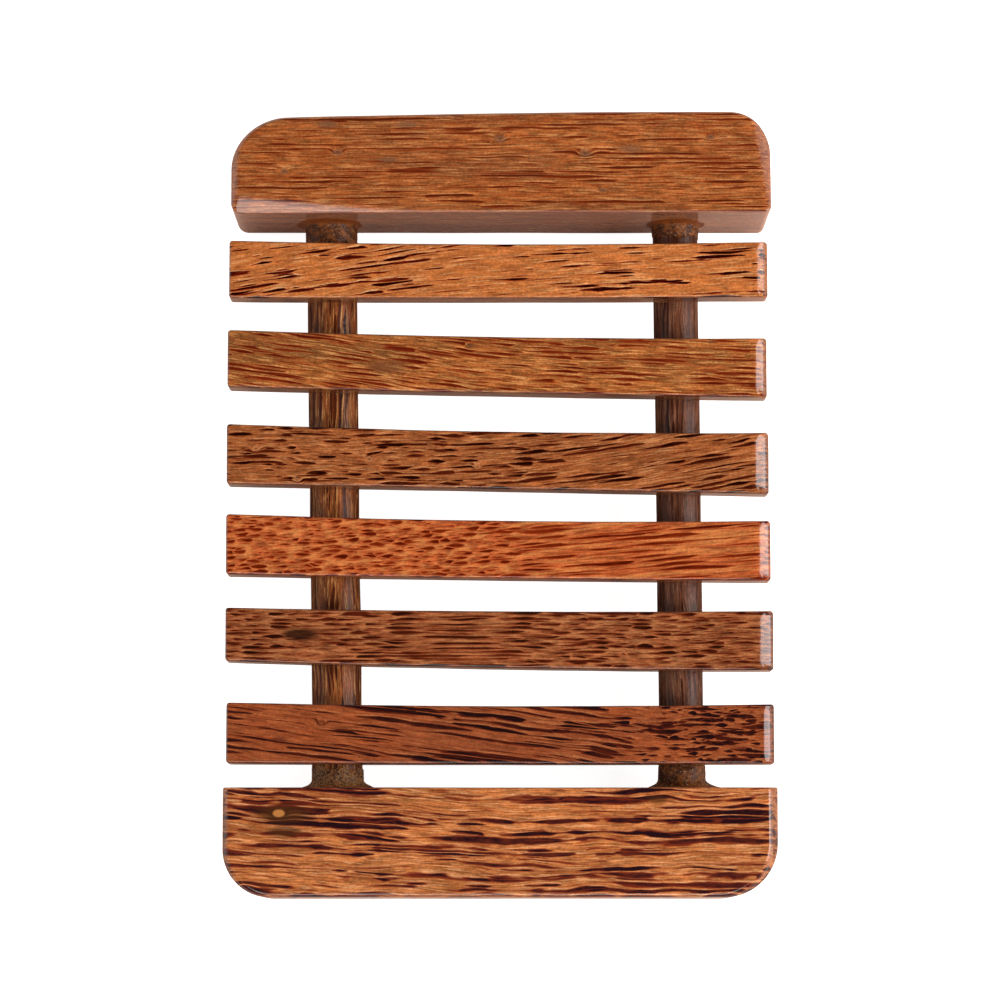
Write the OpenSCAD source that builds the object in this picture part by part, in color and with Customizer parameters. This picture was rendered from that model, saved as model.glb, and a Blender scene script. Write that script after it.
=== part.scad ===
/* [Whole dish] */
// Length of the dish from the front block's outer side to the rear block's
dish_l = 120; // [114:1:135]
// Height of the end blocks, which is the height of the dish
block_h = 18; // [17:0.5:24]

/* [Front block] */
// Length of the front block across the dish
front_block_l = 83.6; // [82:0.1:90]
// Width of the front block
front_block_w = 16.5; // [14:0.1:19]
// Radius of its outer left corner, seen from above
front_left_corner_r = 7.3; // [3:0.1:10]
// Radius of its outer right corner, seen from above
front_right_corner_r = 8.2; // [3:0.1:10]
// Radius of the rounding along the top of its left end
front_left_end_r = 1.2; // [0.8:0.1:2.5]
// Radius of the rounding along the top of its right end
front_right_end_r = 1.5; // [0.8:0.1:2.5]

/* [Rear block] */
// Length of the rear block across the dish
rear_block_l = 82.7; // [80:0.1:83.5]
// Width of the rear block at its widest, near its right end
rear_block_w = 15.7; // [14:0.1:19]
// Radius of its outer left corner, seen from above
rear_left_corner_r = 8.4; // [3:0.1:10]
// Radius of its outer right corner, seen from above
rear_right_corner_r = 6.4; // [3:0.1:10]
// Radius of the rounding along the top of its left end
rear_left_end_r = 1.1; // [0.8:0.1:2.5]
// Radius of the rounding along the top of its right end
rear_right_end_r = 1; // [0.8:0.1:2.5]
// Angle by which its outer side runs in towards the left end
rear_side_angle = 0.5; // [0:0.05:1.5]
// How far the sawn facet reaches in from its right end, at the outer side
end_facet_reach = 3; // [1:0.1:5]
// Width of the hand-planed facet along its inner top edge, at the left end
planed_facet_w = 2.3; // [1:0.1:4]

/* [Block edges] */
// Radius of the rounding along the outer side and round the corners
side_arris_r = 0.7; // [0.3:0.05:1.2]
// Radius of the rounding along the inner top edge
inner_arris_r = 0.35; // [0.2:0.05:0.8]
// Radius of the rounding under the ends
foot_arris_r = 0.9; // [0.3:0.05:2]

/* [Slats] */
// Length of a slat
slat_l = 83; // [76:0.1:83]
// Width of a slat
slat_w = 8.8; // [7:0.1:10]
// Thickness of a slat
slat_t = 5; // [4:0.1:6.5]
// How far the slats' tops lie below the tops of the end blocks
slat_drop = 3; // [2:0.1:4]
// Radius of the rounding along a slat's top edges
slat_top_r = 0.6; // [0.3:0.05:1.2]
// Radius of the rounding along a slat's lower edges
slat_foot_r = 0.45; // [0.2:0.05:0.8]
// Radius of the rounding across a slat's right end
slat_right_end_r = 1.5; // [0.5:0.1:2.5]
// Radius of the rounding across a slat's left end
slat_left_end_r = 0.5; // [0.3:0.05:2]
// Radius of the upright corners at a slat's ends
slat_corner_r = 0.55; // [0.2:0.05:1.5]
// Depth of the saddles in which a slat sits on the dowels
saddle_depth = 0.45; // [0.3:0.05:0.8]

/* [Dowels] */
// Diameter of the left dowel
left_dowel_d = 7.65; // [6:0.05:8.5]
// Diameter of the right dowel
right_dowel_d = 6.9; // [6:0.05:8.5]
// Distance of the left dowel from the middle of the dish
left_dowel_x = 25.6; // [20:0.1:30]
// Distance of the right dowel from the middle of the dish
right_dowel_x = 27.5; // [20:0.1:30]
// Depth of the blind bores in the end blocks
bore_depth = 10; // [6:0.5:12]
// Chamfer on the dowels' tips
tip_chamfer = 0.5; // [0.2:0.1:1]

/* [Glue] */
// Leg of the dried glue collars at the front block
front_collar_leg = 1.3; // [0.6:0.1:1.8]
// Leg of the dried glue collars at the rear block
rear_collar_leg = 1; // [0.6:0.1:1.8]
// Radius of the dried glue fillets under the slats
slat_glue_r = 0.5; // [0.3:0.05:0.8]
// Thickness at which a glue fillet's thin edge ends
glue_edge = 0.08; // [0.05:0.01:0.12]

/* [Fits] */
// Glue line round a dowel, in its bores and its saddles
glue_line = 0.05; // [0.02:0.01:0.1]
// Room left between a dowel's tip and the end of its bore
tip_gap = 0.5; // [0.2:0.1:1]

/* [Hidden] */
$fn = 64;

// How far a cut runs past the surface that it opens
overrun = 2;
// How far an eased edge's centre lies short of its radius from the faces, as a share of the radius
sanded_share = 0.01;

// Inner faces of the two end blocks, and the clear span between them
front_face_y = -dish_l / 2 + front_block_w;
rear_face_y = dish_l / 2 - rear_block_w;
span = rear_face_y - front_face_y;
span_mid_y = (front_face_y + rear_face_y) / 2;

// The slats' levels
slat_top_z = block_h - slat_drop;
slat_bottom_z = slat_top_z - slat_t;

// The hand-set places of the six slats, from the rear: along the span from the front block's face,
// sideways as a share of the slat length, and their own lengths and widths as shares of the nominal
slat_place_shares = [0.903, 0.737, 0.57, 0.414, 0.258, 0.092];
slat_shift_shares = [-0.0034, -0.005, -0.0038, -0.0027, -0.0015, 0.0002];
slat_length_shares = [0.996, 0.995, 0.998, 1.001, 1.003, 1.001];
slat_width_shares = [0.98, 1.0, 1.03, 1.025, 0.985, 1.02];
// How far each slat is turned from square, and the angle between its two long sides, in degrees
slat_turns = [-0.03, -0.95, -0.97, -0.69, -0.68, -0.1];
slat_tapers = [-0.3, 0.15, 0.1, 0, 0.58, -0.25];

// The dowels run a little out of square
left_dowel_turn = 0.92;
right_dowel_turn = 0.43;

// The facets on the rear block: the sawn one's run along the end and its slope, and the planed
// one's slope and the share of the block's length over which it fades out
end_facet_turn = 9.4;
end_facet_slope = 42;
planed_facet_slope = 8;
planed_run_share = 0.42;

function left_axis_z() = slat_bottom_z + saddle_depth - left_dowel_d / 2;
function right_axis_z() = slat_bottom_z + saddle_depth - right_dowel_d / 2;
function slat_y(i) = front_face_y + slat_place_shares[i] * span;
function slat_x(i) = slat_shift_shares[i] * slat_l;

// Where slat i crosses a dowel, along the dowel from the middle of the span
function crossing(i, dowel_x) = slat_y(i) + tan(slat_turns[i]) * (dowel_x - slat_x(i)) - span_mid_y;

// What an eased edge takes away, seen along the edge: the edge is the origin and the piece lies
// towards -X and -Y. The round meets both faces at a slight angle, as sanding leaves it.
module arris_profile(r) {
    centre = -r * (1 - sanded_share);
    difference() {
        translate([-r, -r]) square(r + overrun);
        translate([centre, centre]) circle(r);
    }
}

// An eased straight edge along +X, between a side that faces +Y and a top that faces +Z
module straight_arris(len, r) {
    rotate([90, 0, 90]) linear_extrude(len) arris_profile(r);
}

// An eased edge round an upright corner of radius corner_r, centred on the corner's own centre
module corner_arris(corner_r, r, from_angle) {
    rotate([0, 0, from_angle]) rotate_extrude(angle = 90)
        translate([corner_r, 0]) arris_profile(r);
}

// An end block seen from above: its outer side runs along y = 0, left_x and right_x are the corners'
// centres, and the block lies towards -Y
module block_outline(left_x, right_x, left_r, right_r, depth) {
    left_end = left_x - left_r;
    right_end = right_x + right_r;
    intersection() {
        translate([left_end, -depth]) square([right_end - left_end, depth]);
        union() {
            translate([left_x, -left_r]) circle(left_r);
            translate([right_x, -right_r]) circle(right_r);
            polygon([
                [left_x, 0], [right_x, 0], [right_end, -right_r], [right_end, -depth - overrun],
                [left_end, -depth - overrun], [left_end, -left_r],
            ]);
        }
    }
}

// An end block with its outer side and ends eased, above and below. The outer side touches y = 0
// where the right corner starts, and turns in by side_angle towards the left.
module eased_bar(l, w, left_r, right_r, left_end_r, right_end_r, side_angle) {
    right_x = l / 2 - right_r;
    left_x = -l / 2 + left_r;
    depth = w + l * tan(side_angle) + overrun;
    translate([right_x, 0, 0]) rotate([0, 0, side_angle]) translate([-right_x, 0, 0]) difference() {
        linear_extrude(block_h) block_outline(left_x, right_x, left_r, right_r, depth);
        for (level = [0, 1]) translate([0, 0, level * block_h]) mirror([0, 0, 1 - level]) {
            translate([left_x, 0, 0]) straight_arris(right_x - left_x, side_arris_r);
            translate([left_x, -left_r, 0]) corner_arris(left_r, side_arris_r, 90);
            translate([right_x, -right_r, 0]) corner_arris(right_r, side_arris_r, 0);
        }
        end_arrises(l, depth, block_h, left_end_r, right_end_r, foot_arris_r);
    }
}

// The eased edges across both ends of a bar of length l, over a depth from y = 0 towards -Y
module end_arrises(l, depth, top_z, left_end_r, right_end_r, foot_r) {
    reach = depth + 2 * overrun;
    translate([l / 2, overrun, top_z]) rotate([0, 0, -90]) straight_arris(reach, right_end_r);
    translate([-l / 2, overrun, top_z]) mirror([1, 0, 0]) rotate([0, 0, -90])
        straight_arris(reach, left_end_r);
    for (side = [0, 1]) mirror([side, 0, 0]) translate([l / 2, overrun, 0]) mirror([0, 0, 1])
        rotate([0, 0, -90]) straight_arris(reach, foot_r);
}

// An end block before its bores: inner face on y = 0, outer side towards +Y, underside on z = 0
module eased_block(l, w, left_r, right_r, left_end_r, right_end_r, side_angle) {
    difference() {
        translate([0, w, 0])
            eased_bar(l, w, left_r, right_r, left_end_r, right_end_r, side_angle);
        translate([-l, -w - 2 * overrun, -overrun]) cube([2 * l, w + 2 * overrun, block_h + 2 * overrun]);
        translate([-l, 0, block_h]) mirror([0, 1, 0]) straight_arris(2 * l, inner_arris_r);
    }
}

// Places something along a dowel's axis: its +Z runs towards the rear, from the middle of the span
module on_left_dowel() {
    translate([-left_dowel_x, span_mid_y, left_axis_z()]) rotate([0, 0, left_dowel_turn])
        rotate([-90, 0, 0]) children();
}

module on_right_dowel() {
    translate([right_dowel_x, span_mid_y, right_axis_z()]) rotate([0, 0, right_dowel_turn])
        rotate([-90, 0, 0]) children();
}

// A blind bore of a dowel of diameter d, along the axis and into the block on that side
module bore(d, side) {
    length = bore_depth + overrun;
    start = side > 0 ? span / 2 - overrun : -span / 2 - bore_depth;
    translate([0, 0, start]) cylinder(h = length, d = d + 2 * glue_line);
}

module front_end_block() {
    color("peru") difference() {
        translate([0, front_face_y, 0]) mirror([0, 1, 0])
            eased_block(front_block_l, front_block_w, front_left_corner_r, front_right_corner_r,
                front_left_end_r, front_right_end_r, 0);
        on_left_dowel() bore(left_dowel_d, -1);
        on_right_dowel() bore(right_dowel_d, -1);
    }
}

module rear_end_block() {
    color("chocolate") difference() {
        translate([0, rear_face_y, 0])
            eased_block(rear_block_l, rear_block_w, rear_left_corner_r, rear_right_corner_r,
                rear_left_end_r, rear_right_end_r, rear_side_angle);
        on_left_dowel() bore(left_dowel_d, 1);
        on_right_dowel() bore(right_dowel_d, 1);
        end_facet();
        planed_facet();
    }
}

// The sawn facet across the rear block's right end, widest at the outer side
module end_facet() {
    translate([rear_block_l / 2 - end_facet_reach, rear_face_y + rear_block_w, block_h])
        rotate([0, 0, end_facet_turn]) rotate([0, end_facet_slope, 0])
            translate([-overrun, -rear_block_w - overrun, 0])
                cube([block_h, rear_block_w + 2 * overrun, block_h]);
}

// The shallow planed facet along the rear block's inner top edge, which fades out to the right
module planed_facet() {
    run = planed_run_share * rear_block_l;
    turn = atan(planed_facet_w / run);
    translate([-rear_block_l / 2, rear_face_y + planed_facet_w, block_h])
        rotate([0, 0, -turn]) rotate([planed_facet_slope, 0, 0])
            translate([-overrun, -block_h, 0]) cube([run + block_h, block_h + overrun, overrun]);
}

// One long side of a slat: a bar along X, eased above and below on its +Y side, with spare width
// on the other
module slat_side(l, w) {
    reach = l + 2 * overrun;
    translate([-reach / 2, 0, 0]) difference() {
        translate([0, -w, 0]) cube([reach, 3 * w / 2, slat_t]);
        translate([-overrun, w / 2, slat_t]) straight_arris(reach + 2 * overrun, slat_top_r);
        translate([-overrun, w / 2, 0]) mirror([0, 0, 1]) straight_arris(reach + 2 * overrun, slat_foot_r);
    }
}

// A slat before its saddles, centred, with its underside on z = 0; taper is the angle between its
// long sides, and it is wider at the right where that is positive
module eased_slat(l, w, taper) {
    difference() {
        intersection() {
            rotate([0, 0, taper / 2]) slat_side(l, w);
            mirror([0, 1, 0]) rotate([0, 0, taper / 2]) slat_side(l, w);
            translate([-l / 2, -w, -overrun]) cube([l, 2 * w, slat_t + 2 * overrun]);
        }
        translate([0, w, 0])
            end_arrises(l, 2 * w, slat_t, slat_left_end_r, slat_right_end_r, slat_foot_r);
        for (side = [0, 1], end = [-1, 1]) mirror([0, side, 0])
            translate([end * l / 2, w / 2 + end * tan(taper / 2) * l / 2, -overrun])
                mirror([(1 - end) / 2, 0, 0]) linear_extrude(slat_t + 2 * overrun) arris_profile(slat_corner_r);
    }
}

module slat(i) {
    color("saddlebrown") difference() {
        translate([slat_x(i), slat_y(i), slat_bottom_z]) rotate([0, 0, slat_turns[i]])
            eased_slat(slat_l * slat_length_shares[i], slat_w * slat_width_shares[i], slat_tapers[i]);
        on_left_dowel() saddle(left_dowel_d);
        on_right_dowel() saddle(right_dowel_d);
    }
}

// The round bed that a dowel of diameter d leaves in the slats
module saddle(d) {
    cylinder(h = span, d = d + 2 * glue_line, center = true);
}

// A dowel with chamfered tips, as long as the span and its two bores
module dowel(d) {
    half = span / 2 + bore_depth - tip_gap;
    rotate_extrude() polygon([
        [0, -half], [d / 2 - tip_chamfer, -half], [d / 2, -half + tip_chamfer],
        [d / 2, half - tip_chamfer], [d / 2 - tip_chamfer, half], [0, half],
    ]);
}

module left_dowel() {
    color("sienna") on_left_dowel() dowel(left_dowel_d);
}

module right_dowel() {
    color("sienna") on_right_dowel() dowel(right_dowel_d);
}

// A dried collar of glue round a dowel of diameter d, hollowed, standing on a block's face that
// the dowel leaves at an angle of turn from square. Where the dowel leans towards the face the
// collar's rim just clears it.
module glue_collar(d, leg, turn) {
    inner_r = d / 2 + glue_line;
    stand_off = (inner_r + leg) * sin(turn) + glue_line;
    translate([0, 0, -span / 2 + stand_off]) rotate_extrude() difference() {
        translate([inner_r, 0]) square(leg);
        translate([inner_r + leg, leg]) circle(leg - glue_edge);
    }
}

module front_left_glue_collar() {
    color("darkolivegreen") on_left_dowel()
        glue_collar(left_dowel_d, front_collar_leg, left_dowel_turn);
}

module front_right_glue_collar() {
    color("darkolivegreen") on_right_dowel()
        glue_collar(right_dowel_d, front_collar_leg, right_dowel_turn);
}

module rear_left_glue_collar() {
    color("darkolivegreen") on_left_dowel() mirror([0, 0, 1])
        glue_collar(left_dowel_d, rear_collar_leg, left_dowel_turn);
}

module rear_right_glue_collar() {
    color("darkolivegreen") on_right_dowel() mirror([0, 0, 1])
        glue_collar(right_dowel_d, rear_collar_leg, right_dowel_turn);
}

// One glue fillet beside a dowel of diameter d, seen along the dowel: it fills the corner between
// the dowel and a slat's underside, hollowed to radius slat_glue_r
module slat_glue_profile(d) {
    r = d / 2 + glue_line;
    under_z = d / 2 - saddle_depth - glue_line;
    hollow_z = under_z - slat_glue_r;
    hollow_x = sqrt(pow(r + slat_glue_r, 2) - pow(hollow_z, 2));
    difference() {
        polygon([[0, under_z], [hollow_x, under_z], [hollow_x, hollow_z], [0, 0]]);
        circle(r);
        translate([hollow_x, hollow_z]) circle(slat_glue_r - glue_edge);
    }
}

// The glue fillets of one dowel, a pair under each slat
module slat_glue(d, dowel_x) {
    for (i = [0:len(slat_place_shares) - 1]) {
        run = slat_w * slat_width_shares[i] - 4 * slat_foot_r;
        translate([0, 0, crossing(i, dowel_x)]) for (side = [0, 1]) mirror([side, 0, 0])
            rotate([180, 0, 0]) linear_extrude(run, center = true) slat_glue_profile(d);
    }
}

module left_slat_glue() {
    color("darkolivegreen") on_left_dowel() slat_glue(left_dowel_d, -left_dowel_x);
}

module right_slat_glue() {
    color("darkolivegreen") on_right_dowel() slat_glue(right_dowel_d, right_dowel_x);
}

front_end_block();
rear_end_block();
slat(0);  // slat_1
slat(1);  // slat_2
slat(2);  // slat_3
slat(3);  // slat_4
slat(4);  // slat_5
slat(5);  // slat_6
left_dowel();
right_dowel();
front_left_glue_collar();
front_right_glue_collar();
rear_left_glue_collar();
rear_right_glue_collar();
left_slat_glue();
right_slat_glue();
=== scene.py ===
"""Slatted soap dish of lacquered coconut palm wood: two end blocks, six hand-sawn slats and two
dowels, glued together."""

import math
from collections import namedtuple
from functools import partial

import bpy
import numpy as np
from bpy.props import FloatProperty, FloatVectorProperty, PointerProperty
from bpy.types import Operator, PropertyGroup
from mathutils import Matrix, Vector, noise


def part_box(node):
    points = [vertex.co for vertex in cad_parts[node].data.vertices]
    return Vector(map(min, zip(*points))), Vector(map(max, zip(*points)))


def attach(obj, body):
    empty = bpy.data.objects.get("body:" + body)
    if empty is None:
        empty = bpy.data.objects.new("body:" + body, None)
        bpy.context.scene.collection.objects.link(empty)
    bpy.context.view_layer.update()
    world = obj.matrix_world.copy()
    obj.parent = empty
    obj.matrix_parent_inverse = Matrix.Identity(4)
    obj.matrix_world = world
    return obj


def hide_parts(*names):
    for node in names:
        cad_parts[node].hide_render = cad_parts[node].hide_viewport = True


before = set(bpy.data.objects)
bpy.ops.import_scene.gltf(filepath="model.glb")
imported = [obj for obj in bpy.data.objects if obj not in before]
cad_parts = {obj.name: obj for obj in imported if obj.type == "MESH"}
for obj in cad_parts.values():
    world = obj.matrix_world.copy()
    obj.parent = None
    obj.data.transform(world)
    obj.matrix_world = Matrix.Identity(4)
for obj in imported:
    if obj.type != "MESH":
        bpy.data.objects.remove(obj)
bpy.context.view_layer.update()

bl_info = {
    "name": "Slatted soap dish",
    "version": (1, 0, 0),
    "blender": (4, 5, 0),
    "location": "View3D > Sidebar > Soap dish",
    "description": "Builds the wooden pieces and dried glue of a slatted soap dish, and its studio",
    "category": "Object",
}

MM = 0.001
FRONT_FACE_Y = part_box("front_end_block")[1].y / MM
REAR_FACE_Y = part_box("rear_end_block")[0].y / MM
SLAT_BOTTOM, SLAT_TOP = (corner.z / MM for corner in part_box("slat_1"))


def linear(value):
    """The linear colour of an sRGB hex value."""
    shares = [int(value[i:i + 2], 16) / 255 for i in (1, 3, 5)]
    return tuple(c / 12.92 if c <= 0.04045 else ((c + 0.055) / 1.055) ** 2.4 for c in shares)


def colour_of(name, description, value):
    """A property for one colour, given as an sRGB hex value."""
    return FloatVectorProperty(name=name, description=description, subtype="COLOR", size=3,
                               min=0, max=1, default=linear(value))


def wood_colour(name, value):
    """A property for the ground colour of one piece of wood."""
    return colour_of(name, "Ground colour of the wood between its dark fibre bundles", value)


def lamp_power(name, description, value):
    """A property for the power of one lamp."""
    return FloatProperty(name=name, description=description, default=value, min=0, unit="POWER")


def size_in_mm(name, description, value):
    """A property for one size, given in millimetres and kept in metres."""
    return FloatProperty(name=name, description=description, default=value * MM, min=0,
                         unit="LENGTH", subtype="DISTANCE", precision=5)


class SoapDishBlocks(PropertyGroup):
    """The two thick end blocks."""
    arris: size_in_mm("Edge round", "Round along the blocks' long outer edges", 0.6)
    wobble: size_in_mm("Sanding wobble", "How far hand sanding leaves a face from flat", 0.05)
    front: wood_colour("Front block", "#b66a38")
    rear: wood_colour("Rear block", "#9f5629")


class SoapDishSlats(PropertyGroup):
    """The six thin slats."""
    arris: size_in_mm("Edge round", "Round along the slats' long top edges", 0.32)
    wobble: size_in_mm("Sanding wobble", "How far hand sanding leaves a face from flat", 0.04)
    slat_1: wood_colour("Slat 1", "#bb6a34")
    slat_2: wood_colour("Slat 2", "#a35c2c")
    slat_3: wood_colour("Slat 3", "#9c562c")
    slat_4: wood_colour("Slat 4", "#b1542a")
    slat_5: wood_colour("Slat 5", "#8f4c2a")
    slat_6: wood_colour("Slat 6", "#944825")


class SoapDishDowels(PropertyGroup):
    """The two dowels that carry the slats."""
    wobble: size_in_mm("Shaving wobble", "How far the knife left the dowels from round", 0.12)
    left: wood_colour("Left dowel", "#8a4a24")
    right: wood_colour("Right dowel", "#6b3e2a")


class SoapDishGlue(PropertyGroup):
    """The dried glue at the joints."""
    wobble: size_in_mm("Unevenness", "How uneven the glue dried", 0.14)
    colour: colour_of("Glue", "Colour of the dried glue with its sanding dust", "#46220e")


class SoapDishStage(PropertyGroup):
    """Floor, lamps and camera."""
    key_power: lamp_power("Right softbox", "Power of the tall right softbox", 5.2)
    fill_power: lamp_power("Left softbox", "Power of the left softbox", 1.2)
    front_power: lamp_power("Front softbox", "Power of the front softbox", 2.7)
    floor: colour_of("Floor", "Colour of the floor", "#f4f4f2")


# Meshes, in millimetres until they are made into objects

EDGE_STEPS = 6
# the flat ring inside an eased edge, which keeps the edge's shading off the flat face
FLAT_RING = 0.1
# how much closer together a bar's points are towards its corners: 0 is evenly spaced
CROWDING = 0.35
# the two sides, of front, right, rear and left, that meet at each corner of a bar
CORNER_SIDES = ((0, 3), (0, 1), (2, 1), (2, 3))


def wander(points, seed, wavelength, amount):
    """Smooth vectors of about the given amount, which wander over the given wavelength. Each of
    their parts is a plain noise of its own, because Blender's vector noise differs from run to
    run."""
    shift = Vector((seed * 17.3, seed * 5.1, seed * 9.7))
    parts = [shift + Vector(step) for step in ((0, 0, 0), (31.4, 11.2, 5.6), (7.3, 47.1, 23.9))]
    places = [Vector(p) / wavelength for p in points]
    return np.array([[noise.noise(place + part) for part in parts] for place in places]) * amount


def kept_inside(points, low, high):
    """Points moved back inside a piece's own box, by the little that the wobble took them out."""
    return np.clip(points, low, high)


def placed(name, data):
    """A new object in the scene."""
    made = bpy.data.objects.new(name, data)
    bpy.context.scene.collection.objects.link(made)
    return made


def piece_object(name, points, faces, material, nodes):
    """Makes a smooth-shaded piece that stands for CAD nodes and rides on the dish's one body."""
    mesh = bpy.data.meshes.new(name)
    mesh.from_pydata([tuple(p) for p in points * MM], [], faces)
    mesh.validate()
    mesh.shade_smooth()
    mesh.materials.append(material)
    piece = placed(name, mesh)
    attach(piece, "root")
    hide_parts(*nodes)


def wooden_piece(node, points, faces, colour, grain):
    """Makes the piece of wood that stands for one CAD node, in its own colour and grain."""
    material = coconut_palm_wood("coconut_palm_" + node.replace("_end", ""), colour, grain)
    piece_object(node + "_wood", points, faces, material, [node])


def wall_faces(count, around):
    """The faces of a wall of stacked rings, each with the same number of points around."""
    return [(k * around + i, k * around + (i + 1) % around,
             (k + 1) * around + (i + 1) % around, (k + 1) * around + i)
            for k in range(count - 1) for i in range(around)]


def half_corner(centre, radius, start, end, steps):
    """Points of an arc, without its last."""
    angles = np.linspace(start, end, steps + 1)[:-1]
    return [(centre[0] + radius * math.cos(a), centre[1] + radius * math.sin(a)) for a in angles]


def rounded_loop(box, radii, counts):
    """A rectangle with round corners, as a loop from the middle of its front left corner and round
    by the front. box is (left, front, right, rear), radii go front left, front right, rear right,
    rear left, and counts are the corner's steps and those along the front and along an end."""
    left, front, right, rear = box
    corner_steps, long_steps, short_steps = counts
    centres = [(left + radii[0], front + radii[0]), (right - radii[1], front + radii[1]),
               (right - radii[2], rear - radii[2]), (left + radii[3], rear - radii[3])]
    loop = []
    for side in range(4):
        here, there = centres[side], centres[(side + 1) % 4]
        r_here, r_there = radii[side], radii[(side + 1) % 4]
        middle = math.pi * (1.25 + side / 2)
        square = middle + math.pi / 4
        loop += half_corner(here, r_here, middle, square, corner_steps)
        outwards = np.array([math.cos(square), math.sin(square)])
        a, b = np.array(here) + r_here * outwards, np.array(there) + r_there * outwards
        steps = long_steps if side % 2 == 0 else short_steps
        even = np.arange(steps) / steps
        shares = CROWDING * (1 - np.cos(math.pi * even)) / 2 + (1 - CROWDING) * even
        loop += [tuple(a + (b - a) * share) for share in shares]
        loop += half_corner(there, r_there, square, square + math.pi / 4, corner_steps)
    return np.array(loop)


def loop_weights(counts):
    """For each point of a rounded loop, its shares of front, right, rear and left."""
    corner_steps, long_steps, short_steps = counts
    rise = 0.5 + 0.5 * np.arange(corner_steps) / corner_steps
    fall = 1.5 - rise
    rows = []
    for side in range(4):
        steps = long_steps if side % 2 == 0 else short_steps
        shares = np.zeros((2 * corner_steps + steps, 4))
        shares[:, side] = np.concatenate([rise, np.ones(steps), fall])
        shares[:corner_steps, (side - 1) % 4] = 1 - rise
        shares[-corner_steps:, (side + 1) % 4] = 1 - fall
        rows.append(shares)
    return np.concatenate(rows)


def filled_cap(loop, long_count, short_count):
    """Fills a loop's inside with a grid of points, and returns them with the cap's faces. The
    loop's own points keep their numbers, and the inner ones follow them."""
    front = np.arange(long_count)
    right = np.arange(short_count) + long_count - 1
    rear = np.arange(long_count)[::-1] + long_count + short_count - 2
    left = [0, *range(2 * long_count + short_count - 3, len(loop))[::-1]]
    grid = np.zeros((long_count, short_count), int)
    grid[:, 0], grid[:, -1] = front, rear
    grid[0, :], grid[-1, :] = left, right
    inner = np.arange((long_count - 2) * (short_count - 2)) + len(loop)
    grid[1:-1, 1:-1] = inner.reshape(long_count - 2, short_count - 2)
    s = np.linspace(0, 1, long_count)[1:-1, None, None]
    t = np.linspace(0, 1, short_count)[None, 1:-1, None]
    points = ((1 - t) * loop[front[1:-1], None] + t * loop[rear[1:-1], None]
              + (1 - s) * loop[None, left[1:-1]] + s * loop[None, right[1:-1]]
              - (1 - s) * (1 - t) * loop[front[0]] - s * (1 - t) * loop[front[-1]]
              - (1 - s) * t * loop[rear[0]] - s * t * loop[rear[-1]])
    faces = [(grid[i, j], grid[i + 1, j], grid[i + 1, j + 1], grid[i, j + 1])
             for i in range(long_count - 1) for j in range(short_count - 1)]
    return points.reshape(-1, loop.shape[1]), faces


def eased_bar(low, high, corner_radii, top_edges, foot_edges, counts, wall_steps,
              flat_radii=(0.3, 0.3, 0.3, 0.3)):
    """A bar between two far corners, with round upright corners and eased edges above and below.
    top_edges and foot_edges give, for front, right, rear and left, how far the edge reaches in and
    down, and how flat it is, from 0, a round, to 1, a chamfer. flat_radii are the least radii of
    the corners of the flat top and foot."""
    (left, front, bottom), (right, rear, top) = low, high
    weights = loop_weights(counts)
    sides = []
    for edges, base, sign in ((foot_edges, bottom, 1), (top_edges, top, -1)):
        rings = []
        for step in range(EDGE_STEPS + 2):
            share = min(step / EDGE_STEPS, 1)
            turn = share * math.pi / 2
            extra = FLAT_RING if step > EDGE_STEPS else 0
            reach = [inwards * ((1 - flat) * (1 - math.cos(turn)) + flat * share) + extra
                     for inwards, _, flat in edges]
            rise = [down * (1 - (1 - flat) * math.sin(turn) - flat * share)
                    for _, down, flat in edges]
            ring_box = (left + reach[3], front + reach[0], right - reach[1], rear - reach[2])
            radii = [max(least * share, radius - min(reach[a], reach[b]))
                     for least, radius, (a, b) in zip(flat_radii, corner_radii, CORNER_SIDES)]
            z = base + sign * (weights @ np.array(rise))
            rings.append(np.column_stack([rounded_loop(ring_box, radii, counts), z]))
        sides.append(rings)
    lower, upper = sides[0][::-1], sides[1]
    walls = [lower[-1] + (upper[0] - lower[-1]) * t / wall_steps for t in range(1, wall_steps)]
    rings = lower + walls + upper
    size = len(rings[0])
    long_count = 2 * counts[0] + counts[1] + 1
    short_count = 2 * counts[0] + counts[2] + 1
    points, faces = [np.concatenate(rings)], wall_faces(len(rings), size)
    start = size * len(rings)
    for ring, offset, flip in ((rings[-1], size * (len(rings) - 1), False), (rings[0], 0, True)):
        inner, cap = filled_cap(ring, long_count, short_count)
        points.append(inner)
        for face in cap:
            numbers = [n + offset if n < size else n - size + start for n in face]
            faces.append(tuple(numbers[::-1] if flip else numbers))
        start += len(inner)
    return np.concatenate(points), faces


def soft_lower(z, plane, softness):
    """The lower of two heights, with the crease between them rounded over. A few softnesses above
    the plane the rounding no longer counts, and both limits keep the powers small."""
    gap, lowest, highest = (z - plane) / softness, -30, 6
    rounded = np.log1p(np.exp(np.clip(gap, lowest, highest)))
    return z - softness * np.where(gap > highest, gap, rounded)


# Materials

(TIMES, PLUS, MINUS, TIMES_PLUS, OVER, SIZE_OF, POWER_OF_E, LOGARITHM, GREATER, SCALED, DOT) = (
    {"operation": name} for name in (
        "MULTIPLY", "ADD", "SUBTRACT", "MULTIPLY_ADD", "DIVIDE", "ABSOLUTE", "EXPONENT",
        "LOGARITHM", "MAXIMUM", "SCALE", "DOT_PRODUCT"))
SMOOTH = {"interpolation_type": "SMOOTHSTEP"}
COLOURS = {"data_type": "RGBA"}
FLAT_CELLS = {"voronoi_dimensions": "2D"}
# where a Mix node takes its two colours
MIX_A, MIX_B = 6, 7


def emptied(owner):
    """Empties the node tree of a material or world, and returns what adds nodes to it."""
    owner.use_nodes = True
    owner.node_tree.nodes.clear()
    return partial(add_node, owner.node_tree)


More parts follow.
